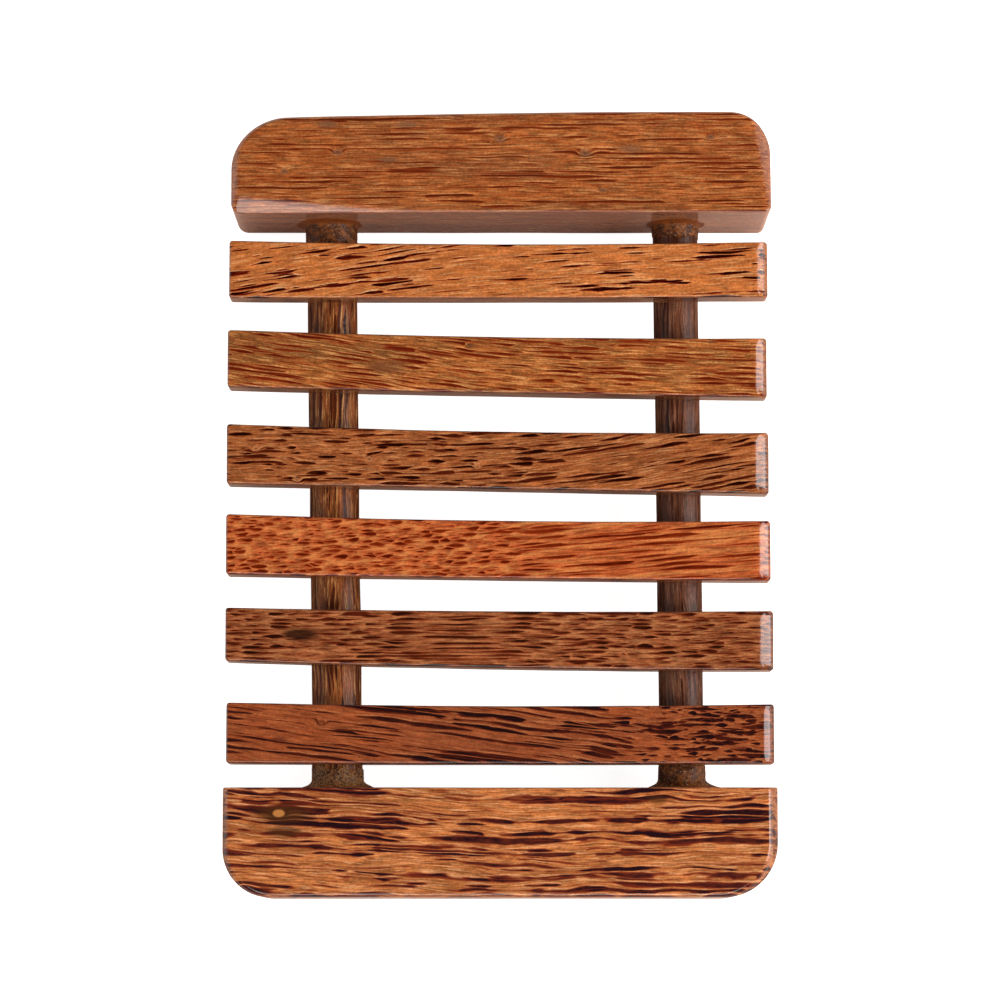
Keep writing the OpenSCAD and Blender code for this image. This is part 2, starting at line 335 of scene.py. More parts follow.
def add_node(tree, kind, settings=(), inputs=()):
    """Adds a node, with its settings and with values or links on its inputs, which go by name or
    in order. kind is Blender's name for it without the word ShaderNode. A node given as a value
    stands for the first thing it gives."""
    node = tree.nodes.new("ShaderNode" + kind)
    for name, value in dict(settings).items():
        setattr(node, name, value)
    for name, value in inputs.items() if isinstance(inputs, dict) else enumerate(inputs):
        if isinstance(value, bpy.types.Node):
            value = next(socket for socket in value.outputs if socket.enabled)
        if isinstance(value, bpy.types.NodeSocket):
            tree.links.new(value, node.inputs[name])
        else:
            node.inputs[name].default_value = value
    return node


def stretched_noise(add, place, wavelengths, detail, seed):
    """A noise with its own wavelengths in millimetres across the grain, up and along it."""
    scaled = add("VectorMath", TIMES_PLUS,
                 [place, [1 / wave for wave in wavelengths], (seed, seed, seed)])
    return add("TexNoise", (), {"Vector": scaled, "Scale": 1.0, "Detail": detail, "Roughness": 0.6})


def flecks(add, place, spacing, stretch, sizes, soft, presence, ragged, seed):
    """Fibre bundles cut at a slant. Each shows as a fleck with a blunt head and a long pointed
    tail, given as how deep a point lies in it, from 0 to 1, with the pale tissue along its one
    side, a random value of its own and the distance from its middle."""
    half_width, raggedness, fade_width = 0.55, 0.55, 0.1
    at = add("VectorMath", TIMES_PLUS,
             [place, (1 / spacing, stretch / spacing, 0), (seed, 2 * seed, 0)])
    cells = add("TexVoronoi", FLAT_CELLS, {"Vector": at, "Scale": 1.0})
    own = add("SeparateColor", (), [cells.outputs["Color"]]).outputs
    off = add("VectorMath", MINUS, [at, cells.outputs["Position"]])
    off = add("SeparateXYZ", (), [off]).outputs
    size = add("Math", TIMES_PLUS, [own[0], sizes[1] - sizes[0], sizes[0]])
    size = add("Math", TIMES, [size, presence])
    run = add("Math", OVER, [off[1], size])
    run = add("Clamp", (), [run, -1.0, 1.0])
    head = add("Math", MINUS, [1.0, run])
    tail = add("Math", PLUS, [1.0, run])
    tail = add("Math", TIMES, [tail, tail])
    taper = add("Math", TIMES, [head, tail])
    half = add("Math", TIMES, [size, half_width])
    half = add("Math", TIMES, [half, taper])
    ragged_half = add("Math", TIMES_PLUS, [ragged, raggedness, half])
    # a fleck fades out where it meets the next one
    edge = add("TexVoronoi", {**FLAT_CELLS, "feature": "DISTANCE_TO_EDGE"},
               {"Vector": at, "Scale": 1.0})
    fade = add("MapRange", SMOOTH, [edge, 0.0, fade_width])
    # the pale tissue starts at the dark bundle's edge and is about as wide
    pale_off = add("Math", MINUS, [off[0], half])
    depths = []
    for from_middle, steepness in ((off[0], 1.0), (pale_off, 0.6)):
        aside = add("Math", SIZE_OF, [from_middle])
        depth = add("Math", MINUS, [ragged_half, aside])
        depth = add("Math", TIMES, [depth, steepness / soft])
        depth = add("Clamp", (), [depth])
        depths.append(add("Math", TIMES, [depth, fade]))
    return *depths, own[1], cells.outputs["Distance"]


def small_knots(add, place, knots, stretch):
    """For each small knot or smear (x, y, radius), a bell that is 1 at its middle and fades out
    past its radius. The bells are stretched, as these marks are drawn out along the grain."""
    bells = []
    for x, y, radius in knots:
        across, along = 1 / radius, 1 / (stretch * radius)
        off = add("VectorMath", TIMES_PLUS,
                  [place, (across, 0, along), (-y * across, 0, -x * along)])
        square = add("VectorMath", DOT, [off, off])
        minus = add("Math", TIMES, [square.outputs["Value"], -1.0])
        bells.append(add("Math", POWER_OF_E, [minus]))
    return bells


# How the fibre bundles lie in one piece of wood. The lean is the slope at which they rise through
# the surface, which sets how long they show, and the drift is their slope across it: each has a
# value for the left end and one for the right, and turns from one to the other at a place along
# the piece, over a length. Calm is where few bundles show: its middle and its half length. Knots
# and smears have their place and radius. The sides go some share of the way to a painted tone:
# painted shade where it is darker, and a painted sheen where it is paler, as on the rear block.
# The ends go some share of the way to their end grain tone, which on the rear block's saw facet
# is partly a painted sheen. Lengths are in millimetres, and sizes are shares of the bundles'
# spacing.
PLAIN_GRAIN = dict(
    axis="X", seed=1.0, drift=(0.0, 0.0), lean=(0.1, 0.1), turn=(0.0, 10.0), wave=0.4, spacing=0.85,
    sizes=(0.2, 0.7), soft=0.26, presence=(0.3, 0.55), core=0.2, calm=(0.0, 1.0), calm_share=0.0,
    long_share=0.8, dark="#2e0300", rim="#6e2208", pale="#dca066", pale_share=0.5, hair_share=0.5,
    fair_share=0.5, brown="#7c4a2a", brown_share=0.35, net_share=0.0, streaky=0.8, sandy=0.2,
    ends=0.45, end_tone="#4a2a1c", sides=0.45, side_tone="#3a1c12", knots=(), smears=(),
    knot="#5c3d2a", knot_core="#3a2114", knot_share=0.6, knot_reach=(0.3, 0.75),
    core_reach=(0.86, 0.97), coat=1.0, coat_roughness=0.16, coat_ripple=0.35, ripple_depth=0.02)


def coconut_palm_wood(name, ground, grain):
    """Coconut palm wood, sawn, sanded and dipped in clear gloss lacquer. Dark fibre bundles 0.3 to
    0.8 mm thick run through the piece, so they show as long pointed flecks where they lie nearly
    in the surface and as dots on the ends, with pale tissue beside them and a sandy ground
    between."""
    grain = {**PLAIN_GRAIN, **grain}
    tones = {key: (*linear(value), 1) for key, value in grain.items() if str(value).startswith("#")}
    material = bpy.data.materials.new(name)
    add = emptied(material)
    seed, sizes = grain["seed"], grain["sizes"]

    # a point's place across the grain, up and along it, in millimetres
    point = add("TexCoord").outputs
    in_mm = add("VectorMath", SCALED, {0: point["Object"], "Scale": 1 / MM})
    x, y, z = add("SeparateXYZ", (), [in_mm]).outputs
    along, across = (x, y) if grain["axis"] == "X" else (y, x)
    plain = add("CombineXYZ", (), [across, z, along])

    # the bundles lean and drift, wander, and swerve round the small knots
    turn_at, turn_over = grain["turn"]
    quickness = 4 / turn_over
    bend = add("Math", TIMES_PLUS, [along, quickness, -quickness * turn_at])
    bend = add("Math", POWER_OF_E, [bend])
    bend = add("Math", PLUS, [bend, 1.0])
    bend = add("Math", LOGARITHM, [bend, math.e])
    slopes = (grain["drift"], grain["lean"])
    change = [(right - left) / quickness for left, right in slopes]
    sway = stretched_noise(add, plain, (3.2, 3.2, 11), 1.5, seed)
    sheared = [add("VectorMath", DOT, [plain, row]).outputs["Value"]
               for row in ((1, 0, slopes[0][0]), (0, 1, slopes[1][0]))]
    place = add("CombineXYZ", (), [*sheared, along])
    place = add("VectorMath", TIMES_PLUS, [bend, (*change, 0), place])
    place = add("VectorMath", TIMES_PLUS,
                [sway.outputs["Color"], (2 * grain["wave"], 2 * grain["wave"], 0), place])
    knots = small_knots(add, plain, grain["knots"], 1.6)
    for bell in knots:
        place = add("VectorMath", TIMES_PLUS, [bell, (0.8, 0.8, 0), place])

    # where the bundles are many or few, and two layers of them
    streaks = stretched_noise(add, place, (0.34, 0.7, 3.2), 3.0, seed + 37)
    ragged = add("Math", MINUS, [streaks, 0.5])
    patches = stretched_noise(add, plain, (2.2, 2.2, 8), 2.0, seed + 7)
    presence = add("MapRange", SMOOTH, [patches, *grain["presence"], 0.45, 1.15])
    centre, half = grain["calm"]
    calm = add("Math", MINUS, [along, centre])
    calm = add("Math", SIZE_OF, [calm])
    calm = add("MapRange", SMOOTH, [calm, 0.4 * half, 1.4 * half, 1 - grain["calm_share"], 1.0])
    presence = add("Math", TIMES, [presence, calm])
    long_sizes = [grain["long_share"] * size for size in sizes]
    (long, long_pale, long_own, _), (short, pale, own, away) = (
        flecks(add, place, grain["spacing"], stretch, layer_sizes, grain["soft"], presence,
               ragged, layer_seed)
        for stretch, layer_sizes, layer_seed in ((0.35, long_sizes, seed + 5), (1.0, sizes, seed)))

    # the ground: streaks along the grain, broad brown zones, fine pale hairs, a pale net between
    # the bundles and pale tissue beside them, then dark hairs
    contrast = 0.6 * grain["streaky"]
    shade = [c * (1 - contrast) for c in ground] + [1]
    light = [min(1, c * (1 + contrast)) for c in ground] + [1]
    streak = add("MapRange", SMOOTH, [streaks, 0.3, 0.7])
    zones = stretched_noise(add, plain, (4, 4, 22), 3.0, seed + 31)
    zone = add("MapRange", SMOOTH, [zones, 0.42, 0.66, 0.0, grain["brown_share"]])
    net = add("Math", TIMES_PLUS, [ragged, 0.7, away])
    net = add("MapRange", SMOOTH, [net, 0.45, 0.75, 0.0, grain["net_share"]])
    pales = [add("Math", TIMES, [value, share * grain["pale_share"]])
             for value, share in ((long_pale, 0.7), (pale, 1.0))]
    hairs = stretched_noise(add, place, (0.2, 0.9, 5), 2.0, seed + 23)
    fair = add("MapRange", SMOOTH, [hairs, 0.46, 0.34, 0.0, grain["fair_share"]])
    hair = add("MapRange", SMOOTH, [hairs, 0.54, 0.68, 0.0, grain["hair_share"]])
    colour = shade
    for share, tone in ((streak, light), (zone, tones["brown"]),
                        *((share, tones["pale"]) for share in (fair, net, *pales)),
                        (hair, tones["rim"])):
        colour = add("Mix", COLOURS, {0: share, MIX_A: colour, MIX_B: tone})

    # sandy specks, which darken or brighten it
    clouds = stretched_noise(add, place, (0.8, 0.8, 2.4), 2.0, seed + 43)
    specks = stretched_noise(add, plain, (0.32, 0.32, 0.42), 2.0, seed + 41)
    sandy = grain["sandy"]
    speck = add("Math", TIMES_PLUS, [clouds, 3 * sandy, 1 - 4 * sandy])
    speck = add("Math", TIMES_PLUS, [specks, 5 * sandy, speck])
    speck = add("CombineColor", (), [speck, speck, speck])
    colour = add("Mix", {**COLOURS, "blend_type": "MULTIPLY"},
                 {0: 1.0, MIX_A: colour, MIX_B: speck})

    # the bundles over it, red-brown at the rim and near black inside, then the smears and knots
    layers = []
    for inside, value in ((long, long_own), (short, own)):
        rim = add("MapRange", SMOOTH, [inside, 0.0, 0.55, 0.0, 0.95])
        core = add("MapRange", SMOOTH, [inside, 0.25, 0.9])
        deep = add("Math", TIMES_PLUS, [value, 0.6, grain["core"] - 0.3])
        deep = add("Math", TIMES_PLUS, [clouds, 1.2, deep])
        core = add("Math", {**TIMES, "use_clamp": True}, [core, deep])
        layers += [(rim, tones["rim"]), (core, tones["dark"])]
    marks = [(bell, (0.02, 0.7), "knot") for bell in small_knots(add, plain, grain["smears"], 3.0)]
    for bell in knots:
        marks += [(bell, grain["knot_reach"], "knot"), (bell, grain["core_reach"], "knot_core")]
    for bell, reach, key in marks:
        share = add("MapRange", SMOOTH, [bell, *reach, 0.0, grain["knot_share"]])
        layers.append((share, tones[key]))

    # end grain drinks more lacquer and takes a tone of its own, which on the rear block's saw facet
    # is partly a painted sheen; the sides take painted shade, and on the rear block a paler painted
    # sheen
    facing = add("SeparateXYZ", (), [point["Normal"]]).outputs
    end_axis = 0 if grain["axis"] == "X" else 1
    for axis, low, high, key, tone in ((1 - end_axis, 0.25, 0.7, "sides", "side_tone"),
                                       (end_axis, 0.38, 0.85, "ends", "end_tone")):
        turned = add("Math", SIZE_OF, [facing[axis]])
        share = add("MapRange", SMOOTH, [turned, low, high, 0.0, grain[key]])
        layers.append((share, tones[tone]))
    for share, tone in layers:
        colour = add("Mix", COLOURS, {0: share, MIX_A: colour, MIX_B: tone})

    # sunk flecks and open pores under the lacquer, and the lacquer's own brushed unevenness
    relief = add("Math", TIMES_PLUS, [short, -0.6, ragged])
    relief = add("Math", TIMES_PLUS, [specks, 0.35, relief])
    pore_depth = 0.03 * MM
    wood_bump = add("Bump", (), {"Strength": 0.5, "Distance": pore_depth, "Height": relief})
    ripples = stretched_noise(add, plain, (0.45, 0.45, 0.7), 3.0, seed + 53)
    lacquer_bump = add("Bump", (), {
        "Strength": grain["coat_ripple"], "Distance": grain["ripple_depth"] * MM,
        "Height": ripples})
    shader = add("BsdfPrincipled", (), {
        "Base Color": colour, "Roughness": 0.5, "IOR": 1.5, "Specular IOR Level": 0.0,
        "Coat Weight": grain["coat"], "Coat Roughness": grain["coat_roughness"], "Coat IOR": 1.5,
        "Normal": wood_bump, "Coat Normal": lacquer_bump})
    add("OutputMaterial", (), [shader])
    return material


def dried_wood_glue(name, colour, dusty_from):
    """Wood glue squeezed out of the joints, dried with sanding dust in it: brown and lumpy, with
    amber places, paler dust where the grit is over dusty_from, and small wet-looking glints."""
    material = bpy.data.materials.new(name)
    add = emptied(material)
    point = add("TexCoord").outputs
    place = add("VectorMath", SCALED, {0: point["Object"], "Scale": 1 / MM})
    clouds = stretched_noise(add, place, (1.1, 1.1, 1.1), 4.0, 3.0)
    grit = stretched_noise(add, place, (0.32, 0.32, 0.32), 2.0, 7.0)
    amber = add("MapRange", SMOOTH, [clouds, 0.4, 0.7, 0.0, 0.8])
    dust = add("MapRange", SMOOTH, [grit, dusty_from, dusty_from + 0.16, 0.0, 0.8])
    # a thin film over a block's face lets the wood through
    y = add("SeparateXYZ", (), [place]).outputs[1]
    off = add("Math", MINUS, [y, SPAN_MIDDLE_Y])
    off = add("Math", SIZE_OF, [off])
    off = add("Math", MINUS, [(REAR_FACE_Y - FRONT_FACE_Y) / 2, off])
    film = add("Math", TIMES_PLUS, [clouds, -0.5, off])
    film = add("MapRange", SMOOTH, [film, 0.4, -0.2, 0.0, 0.9])
    tint = (*colour, 1)
    for share, tone in ((amber, "#96521e"), (dust, "#a5764a"), (film, "#86431a")):
        tint = add("Mix", COLOURS, {0: share, MIX_A: tint, MIX_B: (*linear(tone), 1)})
    grit_depth = 0.16 * MM
    bump = add("Bump", (), {"Strength": 1.0, "Distance": grit_depth, "Height": grit})
    shader = add("BsdfPrincipled", (), {
        "Base Color": tint, "Roughness": 0.6, "IOR": 1.47, "Specular IOR Level": 0.1,
        "Coat Weight": 0.25, "Coat Roughness": 0.14, "Normal": bump, "Coat Normal": bump})
    add("OutputMaterial", (), [shader])
    return material


# The end blocks

class SOAPDISH_OT_front_block(Operator):
    """Builds the front end block"""
    bl_idname = "soapdish.front_block"
    bl_label = "Front end block"

    def execute(self, context):
        props = context.scene.soapdish_blocks
        low, high = (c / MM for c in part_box("front_end_block"))
        outer, inner = (props.arris / MM, props.arris / MM, 0), (0.3, 0.3, 0)
        left_end, right_end, end_foot = (0.9, 1.1, 0.3), (1.45, 1.9, 0.75), (0.9, 0.9, 0.2)
        points, faces = eased_bar(
            low, high, corner_radii=(7.3, 8.2, 0.35, 0.35),
            top_edges=(outer, right_end, inner, left_end),
            foot_edges=(outer, end_foot, inner, end_foot), counts=(12, 120, 14), wall_steps=12)
        points += wander(points, seed=1, wavelength=14, amount=props.wobble / MM)
        points = kept_inside(points, low, high)
        wooden_piece("front_end_block", points, faces, props.front, FRONT_BLOCK_GRAIN)
        return {"FINISHED"}


class SOAPDISH_OT_rear_block(Operator):
    """Builds the rear end block, with the saw facet on its right end and the planed facet inside"""
    bl_idname = "soapdish.rear_block"
    bl_label = "Rear end block"

    def execute(self, context):
        props = context.scene.soapdish_blocks
        low, high = (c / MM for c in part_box("rear_end_block"))
        outer, inner = (props.arris / MM, props.arris / MM, 0), (0.25, 0.25, 0)
        left_end, right_end = (1.2, 1.3, 0.3), (0.5, 0.5, 0)
        inner_foot, end_foot = (0.3, 0.3, 0), (0.9, 0.9, 0.2)
        points, faces = eased_bar(
            low, high, corner_radii=(1.7, 1.1, 6.4, 8.4),
            top_edges=(inner, right_end, outer, left_end),
            foot_edges=(inner_foot, end_foot, outer, end_foot),
            counts=(12, 130, 18), wall_steps=12)
        x, y, z = points.T
        # the outer side bows in towards the left end
        bow_from, bow = 30, 0.00023
        y -= (y - low.y) / (high.y - low.y) * bow * np.maximum(bow_from - x, 0) ** 2
        points += wander(points, seed=2, wavelength=14, amount=props.wobble / MM)
        # the saw facet: where its upper edge meets the outer side, that edge's turn, and its slope
        saw_x, saw_turn, saw_slope = 38.35, math.radians(9.4), math.radians(42)
        edge_x = saw_x + (high.y - y) * math.tan(saw_turn)
        sawn = high.z - (x - edge_x) * math.tan(saw_slope)
        z[:] = soft_lower(z, sawn, softness=0.28)
        # the planed facet, which narrows to nothing: its width at the left, its length, its slope
        plane_width, plane_length, plane_slope = 2.9, 34.7, math.radians(21)
        reach = plane_width * (1 - (x - low.x) / plane_length)
        planed = high.z - (reach - (y - low.y)) * math.tan(plane_slope)
        z[:] = soft_lower(z, planed, softness=0.27)
        points = kept_inside(points, low, high)
        wooden_piece("rear_end_block", points, faces, props.rear, REAR_BLOCK_GRAIN)
        return {"FINISHED"}


# The slats

# Each slat's rear and front edge: where it crosses the middle, its turn in degrees and how far its
# ends bow towards the rear, then its two ends, and how far in and down its right end is sanded
# round. All but the turns are in millimetres.
Slat = namedtuple("Slat", "rear front ends sanded_end")
SLATS = {
    "slat_1": Slat((39.87, -0.12, 0.45), (31.46, 0.1, 0.15), (-41.62, 41.06), (1.9, 1.4)),
    "slat_2": Slat((25.49, -0.89, 0.4), (16.79, -1.07, 0.12), (-41.76, 40.84), (2.0, 1.4)),
    "slat_3": Slat((10.85, -0.92, 0.48), (2.04, -1.06, 0.0), (-41.78, 41.02), (2.5, 1.5)),
    "slat_4": Slat((-2.85, -0.74, 0.48), (-11.66, -0.67, 0.12), (-41.78, 41.17), (2.3, 1.2)),
    "slat_5": Slat((-16.69, -0.35, 0.31), (-25.28, -0.98, 0.3), (-41.78, 41.5), (2.6, 1.4)),
    "slat_6": Slat((-31.1, -0.19, 0.4), (-39.84, -0.05, 0.06), (-41.53, 41.56), (1.8, 1.5)),
}
# how far from its middle a slat's bow is given
BOW_AT = 40.0


def slat_edge(edge, x):
    """Where a slat's long edge lies at x."""
    middle, turn, bow = edge
    return middle + np.tan(math.radians(turn)) * x + bow * (x / BOW_AT) ** 2


class SOAPDISH_OT_slats(Operator):
    """Builds the six slats"""
    bl_idname = "soapdish.slats"
    bl_label = "Slats"

    def execute(self, context):
        props = context.scene.soapdish_slats
        long_edge, foot = (props.arris / MM, props.arris / MM, 0), (0.45, 0.45, 0)
        left_end, sanded_flatness, half = (0.4, 0.4, 0), 0.45, 4.4
        for number, (node, slat) in enumerate(SLATS.items(), 1):
            left, right = slat.ends
            right_end = (*slat.sanded_end, sanded_flatness)
            points, faces = eased_bar(
                (left, -half, SLAT_BOTTOM), (right, half, SLAT_TOP),
                corner_radii=(0.5, 0.5, 0.5, 0.5),
                top_edges=(long_edge, right_end, long_edge, left_end),
                foot_edges=(foot, foot, foot, foot), counts=(5, 130, 14), wall_steps=4,
                flat_radii=(0.3, 1.3, 1.3, 0.3))
            # the plain bar's long sides move to the slat's own edges
            x, y, z = points.T
            rear, front = slat_edge(slat.rear, x), slat_edge(slat.front, x)
            y[:] = front + (rear - front) * (y + half) / (2 * half)
            points += wander(points, seed=10 + number, wavelength=9, amount=props.wobble / MM)
            z[:] = np.clip(z, SLAT_BOTTOM, SLAT_TOP)
            wooden_piece(node, points, faces, getattr(props, node), SLAT_GRAINS[node])
        return {"FINISHED"}


# The dowels and the glue

# The dowels: where each crosses the middle, its turn in degrees and its diameter.
Dowel = namedtuple("Dowel", "x turn diameter")
DOWELS = {"left_dowel": Dowel(-25.58, 0.92, 7.65), "right_dowel": Dowel(27.5, 0.43, 6.9)}
SPAN_MIDDLE_Y = (FRONT_FACE_Y + REAR_FACE_Y) / 2
SADDLE_DEPTH = 0.45


def dowel_axis(dowel, y):
    """The point of a dowel's axis at y."""
    x = dowel.x - math.tan(math.radians(dowel.turn)) * (y - SPAN_MIDDLE_Y)
    return np.array([x, y, SLAT_BOTTOM + SADDLE_DEPTH - dowel.diameter / 2])


def shaved_dowel(dowel, low, high, seed, wobble):
    """A dowel with chamfered tips, shaved round with a knife."""
    around, rows, chamfer, proud = 64, 150, 0.5, 0.04
    turns = 2 * math.pi * np.arange(around) / around
    outwards = np.column_stack([np.cos(turns), 0 * turns, np.sin(turns)])
    stations = [low.y, *np.linspace(low.y + chamfer, high.y - chamfer, rows), high.y]
    rings = []
    for y in stations:
        cut = max(0.0, chamfer - min(y - low.y, high.y - y))
        rings.append(dowel_axis(dowel, y) + (dowel.diameter / 2 - cut) * outwards)
    points = np.concatenate(rings)
    # the knife facets run along the dowel, so the wobble is long in Y and short round it, and
    # stands little proud of the round
    shaved = wander(points / (1, 9, 1), seed, 1.7, wobble)[:, :1]
    points += np.tile(outwards, (len(rings), 1)) * np.minimum(shaved, proud)
    faces = [face[::-1] for face in wall_faces(len(rings), around)]
    last, tips = (len(rings) - 1) * around, len(rings) * around
    for i in range(around):
        faces.append((i, (i + 1) % around, tips))
        faces.append((last + (i + 1) % around, last + i, tips + 1))
    points = np.vstack([points, dowel_axis(dowel, low.y), dowel_axis(dowel, high.y)])
    return kept_inside(points, low, high), faces


class SOAPDISH_OT_dowels(Operator):
    """Builds the two dowels"""
    bl_idname = "soapdish.dowels"
    bl_label = "Dowels"

    def execute(self, context):
        props = context.scene.soapdish_dowels
        for number, (node, dowel) in enumerate(DOWELS.items(), 1):
            low, high = (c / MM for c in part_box(node))
            points, faces = shaved_dowel(dowel, low, high, 30 + number, props.wobble / MM)
            wooden_piece(node, points, faces, getattr(props, node.split("_")[0]),
                         DOWEL_GRAINS[node])
        return {"FINISHED"}


# The collars: the dowel, on which side its block stands, how far the glue spreads over the block's
# face to the left, the right, above and below, how far its round corner climbs along the dowel,
# how far a thin skin of it goes on, and whether much sanding dust dried in it.
Collar = namedtuple("Collar", "dowel side spread climb skin dusty")
COLLARS = {
    "front_left_glue_collar": Collar("left_dowel", -1, (4.2, 5.9, 1.5, 0.9), 1.6, 3.4, True),
    "front_right_glue_collar": Collar("right_dowel", -1, (5.0, 7.0, 1.4, 0.9), 1.8, 3.9, False),
    "rear_left_glue_collar": Collar("left_dowel", 1, (1.7, 0.9, 2.6, 0.8), 0.5, 3.6, False),
    "rear_right_glue_collar": Collar("right_dowel", 1, (1.1, 1.2, 2.2, 0.8), 0.5, 2.2, False),
}
SKIN_THICK = 0.2


def glue_collar(collar, number):
    """Glue round a dowel where it enters its block: a film over the face, a round corner and a
    thin skin along the dowel."""
    dowel, side = DOWELS[collar.dowel], collar.side
    face_y = REAR_FACE_Y if side > 0 else FRONT_FACE_Y
    left, right, above, below = collar.spread
    around, steps, in_dowel, in_block, thinnest, diagonal = 96, 14, 0.15, 0.3, 0.02, 0.5
    points = []
    for k in range(around):
        a = 2 * math.pi * k / around
        out_x, out_z = math.cos(a), math.sin(a)
        place = Vector((1.7 * out_x, 1.7 * out_z, 7.7 * number))
        sideways, upright = abs(out_x) ** 3, out_z ** 2
        spread = (sideways * (right if out_x > 0 else left)
                  + upright * (above if out_z > 0 else below)
                  + diagonal * (1 - sideways - upright))
        spread *= 1 + 0.2 * noise.noise(place)
        climb = collar.climb * (1 + 0.3 * noise.noise(place + Vector((0, 0, 40))))
        skin_end = collar.skin * (1 + 0.35 * noise.noise(2 * place + Vector((0, 0, 80))))
        profile = [(-in_dowel, -in_block), (spread, -in_block)]
        for t in np.linspace(0, math.pi / 2, steps + 1):
            profile.append((SKIN_THICK + (spread - SKIN_THICK) * (1 - math.sin(t)),
                            climb * (1 - math.cos(t)) + thinnest))
        profile += [(SKIN_THICK * (1 - 0.3 * share), climb + (skin_end - climb) * share)
                    for share in (0.5, 0.85)]
        profile += [(thinnest, skin_end), (-in_dowel, skin_end)]
        points += [dowel_axis(dowel, face_y - side * rise)
                   + (dowel.diameter / 2 + out) * np.array([out_x, 0, out_z])
                   for out, rise in profile]
    faces = [tuple(n % len(points) for n in face) for face in wall_faces(around + 1, len(profile))]
    return np.array(points), faces if side < 0 else [face[::-1] for face in faces]


def slat_beads(dowel, number):
    """The beads in the corners between a dowel and the slats' undersides."""
    rows, around, inset, sunk, thick, swelling, flatness = 22, 12, 0.35, 0.12, 0.34, 0.16, 0.7
    r = dowel.diameter / 2
    across = math.sqrt(r ** 2 - (r - SADDLE_DEPTH) ** 2)
    points, faces = [], []
    for index, slat in enumerate(SLATS.values()):
        for side in (-1, 1):
            x = dowel.x + side * across
            y_low = slat_edge(slat.front, x) + inset
            y_high = slat_edge(slat.rear, x) - inset
            start = len(points)
            for t in np.linspace(0, 1, rows + 1):
                y = y_low + (y_high - y_low) * t
                corner = dowel_axis(dowel, y) + (side * across, 0, r - SADDLE_DEPTH - sunk)
                swell = noise.noise(Vector((0.5 * y, 3.0 * side, 5.0 * index + 9 * number)))
                ending = math.sin(math.pi * min(max(t, 0.04), 0.96)) ** 0.35
                size = (thick + swelling * swell) * ending
                for a in 2 * math.pi * np.arange(around) / around:
                    out = np.array([math.cos(a), 0, flatness * math.sin(a)])
                    points.append(corner + size * out)
            faces += [(start + a, start + d, start + c, start + b)
                      for a, b, c, d in wall_faces(rows + 1, around)]
            last = start + rows * around
            faces.append(tuple(range(start, start + around)))
            faces.append(tuple(range(last, last + around))[::-1])
    return np.array(points), faces


class SOAPDISH_OT_glue(Operator):
    """Builds the dried glue at the dowels' ends and under the slats"""
    bl_idname = "soapdish.glue"
    bl_label = "Dried glue"

    def execute(self, context):
        props = context.scene.soapdish_glue
        plain = dried_wood_glue("dried_wood_glue", props.colour, 0.54)
        dusty = dried_wood_glue("dusty_wood_glue", props.colour, 0.42)
        for number, (node, collar) in enumerate(COLLARS.items()):
            points, faces = glue_collar(collar, number)
            points += wander(points, seed=50 + number, wavelength=0.9,
                             amount=0.7 * props.wobble / MM)
            material = dusty if collar.dusty else plain
            piece_object(node + "_glue", points, faces, material, [node])
        for number, (name, dowel) in enumerate(DOWELS.items()):
            points, faces = slat_beads(dowel, number)
            node = name.replace("dowel", "slat_glue")
            piece_object(node + "_beads", points, faces, plain, [node])
        return {"FINISHED"}


# Each piece's grain

FRONT_BLOCK_GRAIN = dict(
    seed=2.0, lean=(0.06, 0.04), drift=(0.05, 0.0), wave=1.0, spacing=1.05, sizes=(0.24, 0.94),
    soft=0.4, presence=(0.37, 0.56), long_share=1.0, core=0.4, dark="#220a10", rim="#7c2a12",
    pale="#f4b07a", pale_share=0.6, brown="#74431f", brown_share=0.45, hair_share=0.75,
    fair_share=0.5, streaky=0.75, sides=0.2, knots=((-33.3, -47.4, 0.8),),
    smears=((-32.8, -47.5, 1.3), (-32.4, -50.1, 0.8), (23.6, -45.4, 0.5)), knot="#43240f",
    knot_core="#c98242", knot_share=0.75, knot_reach=(0.02, 0.45), core_reach=(0.5, 0.75))
# the rear block's pale side tone is a painted sheen on its inner face and outer side
REAR_BLOCK_GRAIN = dict(
    seed=5.0, lean=(0.045, 0.06), wave=0.35, spacing=0.75, sizes=(0.1, 0.62), soft=0.28,
    presence=(0.34, 0.6), long_share=1.1, core=0.3, dark="#571f0b", rim="#822d0a", pale="#dd9c60",
    pale_share=0.8, hair_share=0.7, fair_share=0.4, brown="#6e4229", brown_share=0.5, streaky=0.65,
    # the pale end tone is the saw facet's end grain and partly a painted sheen
    sandy=0.26, coat_roughness=0.15, sides=0.35, side_tone="#b8826c", ends=0.5, end_tone="#a06a54",
    knots=((-24.9, 53.6, 0.6), (-33.1, 50.6, 0.5), (0.0, 55.7, 0.7), (13.0, 53.4, 0.7),
           (15.7, 47.7, 0.45), (32.2, 56.0, 0.5)),
    smears=((-26.6, 57.9, 0.5), (-14.4, 57.9, 0.5), (-17.2, 52.4, 0.4), (19.9, 54.1, 0.55)),
    knot="#75503a", knot_core="#563525")
